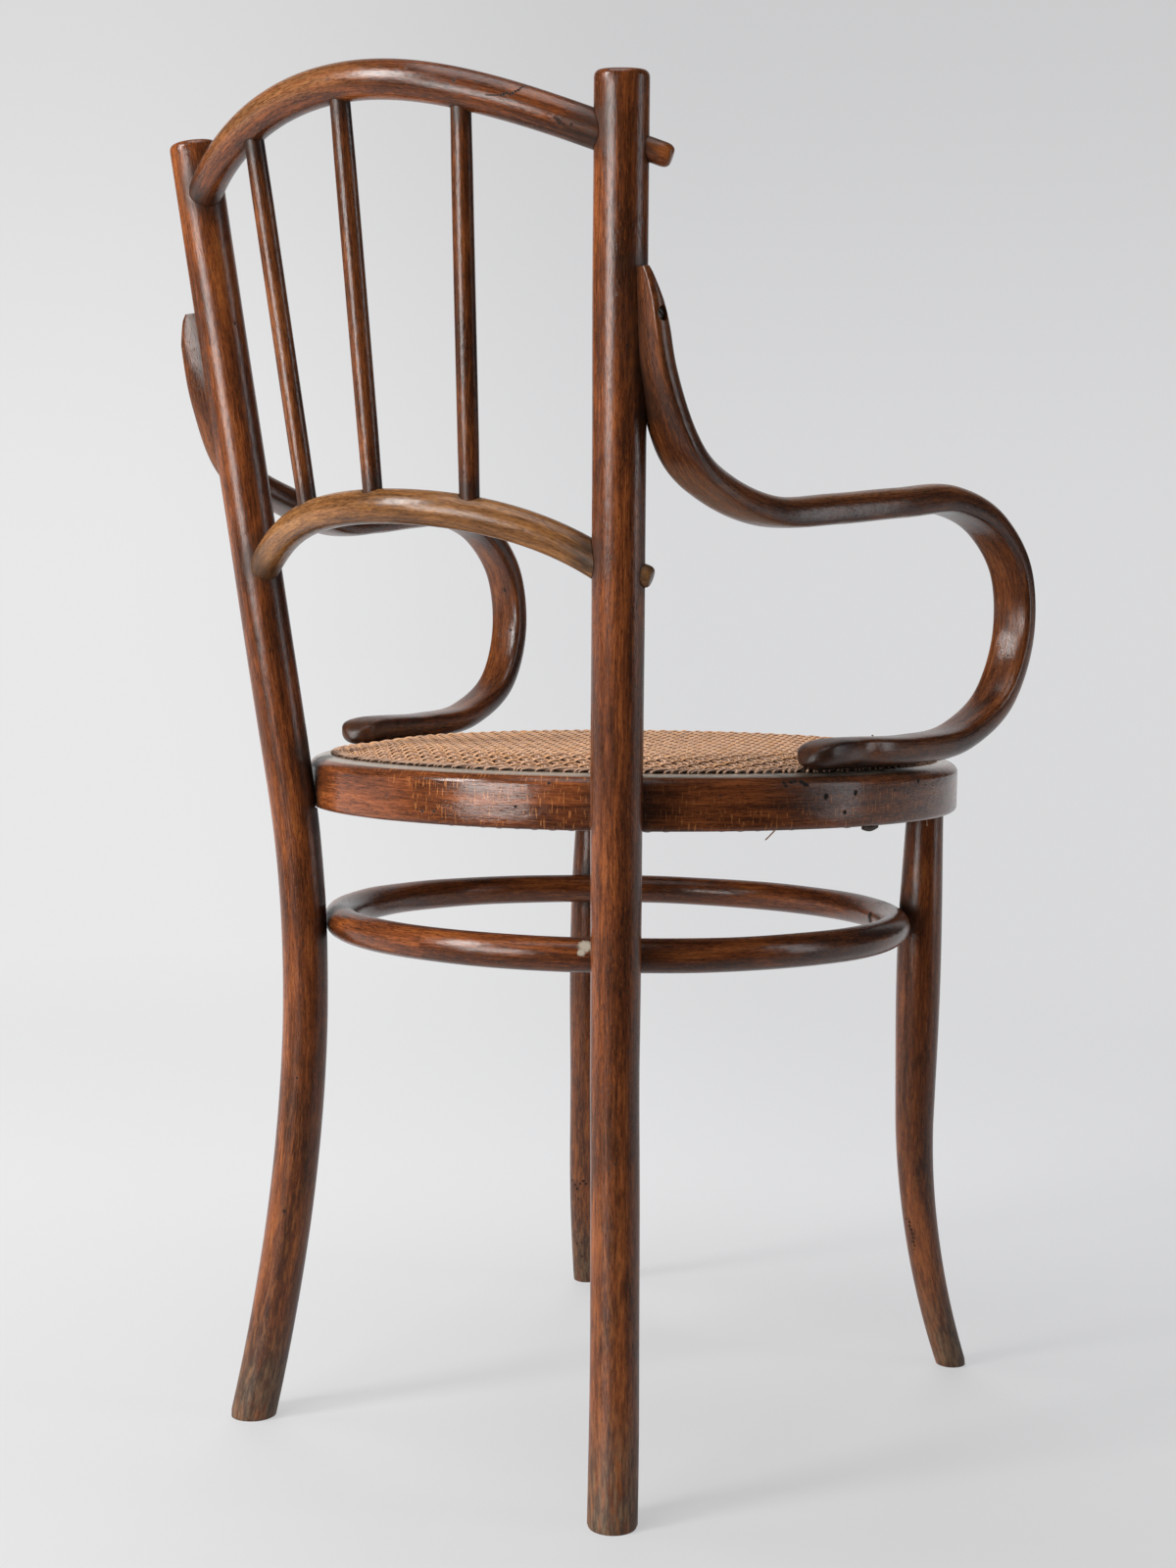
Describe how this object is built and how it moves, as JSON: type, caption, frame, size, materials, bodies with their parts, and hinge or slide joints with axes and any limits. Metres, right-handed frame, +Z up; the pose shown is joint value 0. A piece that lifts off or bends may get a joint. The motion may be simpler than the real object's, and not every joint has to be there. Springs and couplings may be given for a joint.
{
  "type": "bentwood armchair",
  "caption": "Bentwood armchair with a caned oval seat, bent arms, two bowed back rails with spindles between them, splayed round legs and an oval stretcher ring.",
  "frame": {"origin": "on the floor, under the middle of the chair's bounding box", "axes": "+Z up; the chair faces -Y, so the back is at +Y and the sitter's left hand is at +X"},
  "size_m": [0.4972, 0.5843, 0.8984],
  "materials": {
    "stained_wood": "satin",
    "golden_wood": "satin",
    "cane": "matte",
    "dark_steel": "dull"
  },
  "bodies": {
    "root": {"rear_post_left": "stained_wood", "rear_post_right": "stained_wood", "front_leg_left": "stained_wood", "front_leg_right": "stained_wood", "seat_rim": "stained_wood", "cane_panel": "cane", "stretcher_ring": "stained_wood", "crest_rail": "stained_wood", "lower_back_rail": "golden_wood", "back_spindle_left": "stained_wood", "back_spindle_centre": "stained_wood", "back_spindle_right": "stained_wood", "arm_left": "stained_wood", "arm_right": "stained_wood", "arm_post_screw_left": "dark_steel", "arm_post_screw_right": "dark_steel", "arm_seat_screw_left": "dark_steel", "arm_seat_screw_right": "dark_steel", "seat_post_screw_left": "dark_steel", "seat_post_screw_right": "dark_steel", "ring_post_screw_left": "dark_steel", "ring_post_screw_right": "dark_steel", "ring_leg_screw_left": "dark_steel", "ring_leg_screw_right": "dark_steel", "crest_rail_pin_left": "dark_steel", "crest_rail_pin_right": "dark_steel", "lower_back_rail_pin_left": "dark_steel", "lower_back_rail_pin_right": "dark_steel"}
  },
  "joints": []
}
